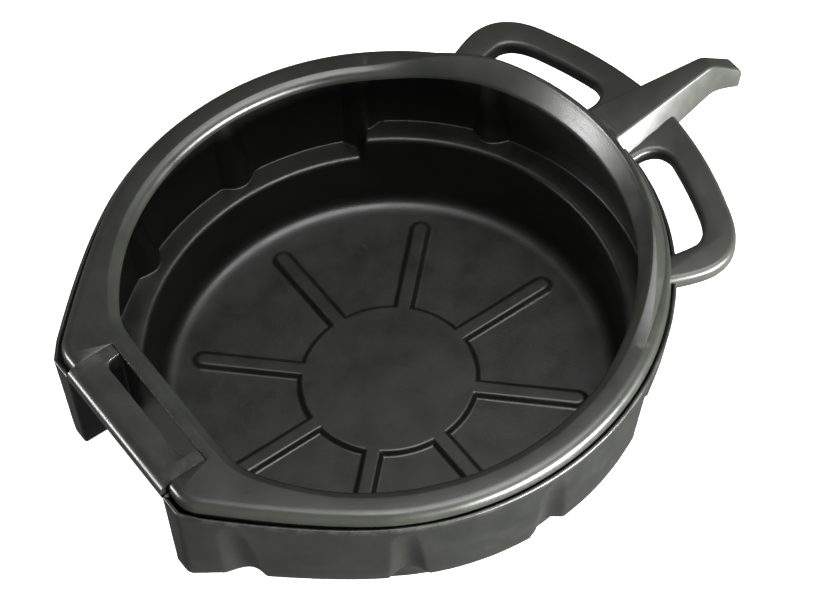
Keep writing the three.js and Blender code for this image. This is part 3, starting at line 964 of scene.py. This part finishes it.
def mottling_and_edge_highlight(recipe, colour):
    """Faint mottling, with a painted highlight on the convex edges: they are painted paler in patches."""
    mottling = 0.18
    darker = tuple(c * (1.0 - mottling) for c in colour)
    lighter = tuple(c * (1.0 + mottling) for c in colour)
    # Painted highlight: the convex edges are painted paler, in patches, to stand for light caught on them.
    edge_highlight_colour = tuple(min(c * 2.4 + 0.01, 1.0) for c in colour)
    mottle = recipe.ramp(recipe.noise(scale=14.0, detail=4.0), [(0.35, darker), (0.65, lighter)])
    convex = recipe.nodes.new("ShaderNodeNewGeometry").outputs["Pointiness"]
    edges = recipe.ramp(convex, [(0.515, 0.0), (0.56, 1.0)])
    patches = recipe.ramp(recipe.noise(scale=60.0, detail=6.0, rough=0.7), [(0.45, 0.0), (0.7, 1.0)])
    edge_highlight_mask = recipe.mix("MULTIPLY", 1.0, edges, patches)
    return recipe.mix("MIX", edge_highlight_mask, mottle, edge_highlight_colour)


def uneven_gloss(recipe, roughness, scuffs):
    """Cloudy variation of the gloss, with fine dull scuffs along one direction."""
    cloudy = recipe.noise(scale=35.0, detail=5.0, rough=0.6)
    uneven = recipe.ramp(cloudy, [(0.3, roughness - 0.06), (0.7, roughness + 0.07)])
    stretched = recipe.nodes.new("ShaderNodeMapping")
    stretched.inputs["Scale"].default_value = (1.0, 9.0, 3.0)
    stretched.inputs["Rotation"].default_value = (0.3, 0.2, 0.9)
    recipe.links.new(recipe.place, stretched.inputs["Vector"])
    scratches = recipe.noise(scale=90.0, detail=3.0, place=stretched.outputs["Vector"])
    scuffed = recipe.ramp(scratches, [(0.62, 0.0), (0.75, scuffs)])
    return recipe.mix("ADD", 1.0, uneven, scuffed)


def grained_surface(recipe, grain, grain_size):
    """The mould's fine grain, over slow waves in the wall."""
    cells = recipe.nodes.new("ShaderNodeTexVoronoi")
    cells.inputs["Scale"].default_value = 1.0 / (grain_size * MM)
    recipe.links.new(recipe.place, cells.inputs["Vector"])
    fine = recipe.bump(cells.outputs["Distance"], strength=grain, depth=0.12)
    waves = recipe.noise(scale=22.0, detail=2.0)
    return recipe.bump(waves, strength=0.25, depth=0.5, below=fine)


def moulded_plastic(name, colour, roughness, grain, grain_size, scuffs):
    """Black moulded plastic; the grain's size is in millimetres."""
    recipe = Recipe(name)
    inputs = recipe.shader.inputs
    recipe.links.new(mottling_and_edge_highlight(recipe, colour), inputs["Base Color"])
    recipe.links.new(uneven_gloss(recipe, roughness, scuffs), inputs["Roughness"])
    recipe.links.new(grained_surface(recipe, grain, grain_size), inputs["Normal"])
    return recipe.material


def matte_floor():
    """Plain white; a little light of its own keeps the shadow on it faint."""
    material = bpy.data.materials.new("studio_floor")
    material.use_nodes = True
    shader = material.node_tree.nodes["Principled BSDF"]
    shader.inputs["Base Color"].default_value = (0.93, 0.93, 0.93, 1.0)
    shader.inputs["Roughness"].default_value = 0.9
    shader.inputs["Specular IOR Level"].default_value = 0.1
    shader.inputs["Emission Color"].default_value = (1.0, 1.0, 1.0, 1.0)
    shader.inputs["Emission Strength"].default_value = 0.6
    return material


# ---------------------------------------------------------------- studio


def make_camera():
    """A long lens high on the pan's front right side, rolled a little, as the object is shown."""
    spot = Vector((1149.0, AXIS_Y - 648.0, 1887.0)) * MM
    target = Vector((0.0, AXIS_Y, 3.0)) * MM
    roll = math.radians(-6.88)
    back = (spot - target).normalized()
    right = Vector((0.0, 0.0, 1.0)).cross(back).normalized()
    up = back.cross(right)
    rolled_right = right * math.cos(roll) + up * math.sin(roll)
    rolled_up = up * math.cos(roll) - right * math.sin(roll)
    data = bpy.data.cameras.new("camera")
    data.sensor_width = 36.0
    data.lens = 125.3
    data.shift_x = 0.02635
    data.shift_y = 0.08797
    data.clip_end = 50.0
    camera = bpy.data.objects.new("camera", data)
    axes = Matrix((rolled_right, rolled_up, back)).transposed().to_4x4()
    camera.matrix_world = Matrix.Translation(spot) @ axes
    bpy.context.scene.collection.objects.link(camera)
    bpy.context.scene.camera = camera


def area_light(name, place, aim, size, power):
    """A soft rectangular light, size as (width, height), that shines from its place at the aim."""
    data = bpy.data.lights.new(name, "AREA")
    data.shape = "RECTANGLE"
    data.size, data.size_y = size
    data.energy = power
    light = bpy.data.objects.new(name, data)
    light.location = place
    light.rotation_euler = (Vector(aim) - Vector(place)).to_track_quat("-Z", "Y").to_euler()
    bpy.context.scene.collection.objects.link(light)


def make_floor():
    """A white floor that throws no light back on the pan."""
    size = 12.0
    corners = [(-size, -size, 0), (size, -size, 0), (size, size, 0), (-size, size, 0)]
    mesh = bpy.data.meshes.new("floor")
    mesh.from_pydata(corners, [], [(0, 1, 2, 3)])
    floor = bpy.data.objects.new("floor", mesh)
    bpy.context.scene.collection.objects.link(floor)
    floor.location.z = -0.5 * MM
    floor.visible_glossy = False
    floor.visible_diffuse = False
    mesh.materials.append(matte_floor())


def make_studio():
    """The floor, a faint even sky, a high soft light, and low ones on the right and the front left."""
    make_floor()
    world = bpy.data.worlds.new("studio")
    world.use_nodes = True
    world.node_tree.nodes["Background"].inputs["Color"].default_value = (1.0, 1.0, 1.0, 1.0)
    world.node_tree.nodes["Background"].inputs["Strength"].default_value = 0.16
    bpy.context.scene.world = world
    area_light("overhead", place=(0.35, 0.3, 2.6), aim=(0.0, 0.0, 0.0), size=(1.8, 1.8), power=90.0)
    area_light("right", place=(2.3, 0.68, 0.22), aim=(0.0, 0.0, 0.12), size=(1.6, 0.4), power=650.0)
    area_light("front_left", place=(-1.2, -2.0, 0.5), aim=(0.0, -0.2, 0.13), size=(0.8, 0.4), power=60.0)
    bpy.context.scene.view_settings.view_transform = "Standard"


# ---------------------------------------------------------------- assembly


def install(piece, node, material):
    piece.data.materials.clear()
    piece.data.materials.append(material)
    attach(piece, "root")
    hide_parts(node)


make_camera()
make_studio()

# The bowl's plastic is a darker copy of the rim's: painted shade for the inside of the pan, laid over the
# whole bowl.
bowl_plastic = moulded_plastic(
    "bowl_plastic", (0.0062, 0.0066, 0.0054), roughness=0.36, grain=0.5, grain_size=1.1, scuffs=0.10
)
rim_plastic = moulded_plastic(
    "rim_plastic", (0.0135, 0.0145, 0.0115), roughness=0.33, grain=0.25, grain_size=0.9, scuffs=0.12
)
handle_plastic = moulded_plastic(
    "handle_plastic", (0.017, 0.018, 0.0145), roughness=0.36, grain=0.3, grain_size=0.9, scuffs=0.12
)

install(make_bowl(), "bowl", bowl_plastic)
install(make_rim(), "splash_rim", rim_plastic)
install(make_grip(), "front_grip", rim_plastic)
install(make_loop("right_loop_bar", 1.0), "right_loop_handle", handle_plastic)
install(make_loop("left_loop_bar", -1.0), "left_loop_handle", handle_plastic)
install(make_spout(), "pour_spout", handle_plastic)
install(make_chute(), "pour_spout", handle_plastic)
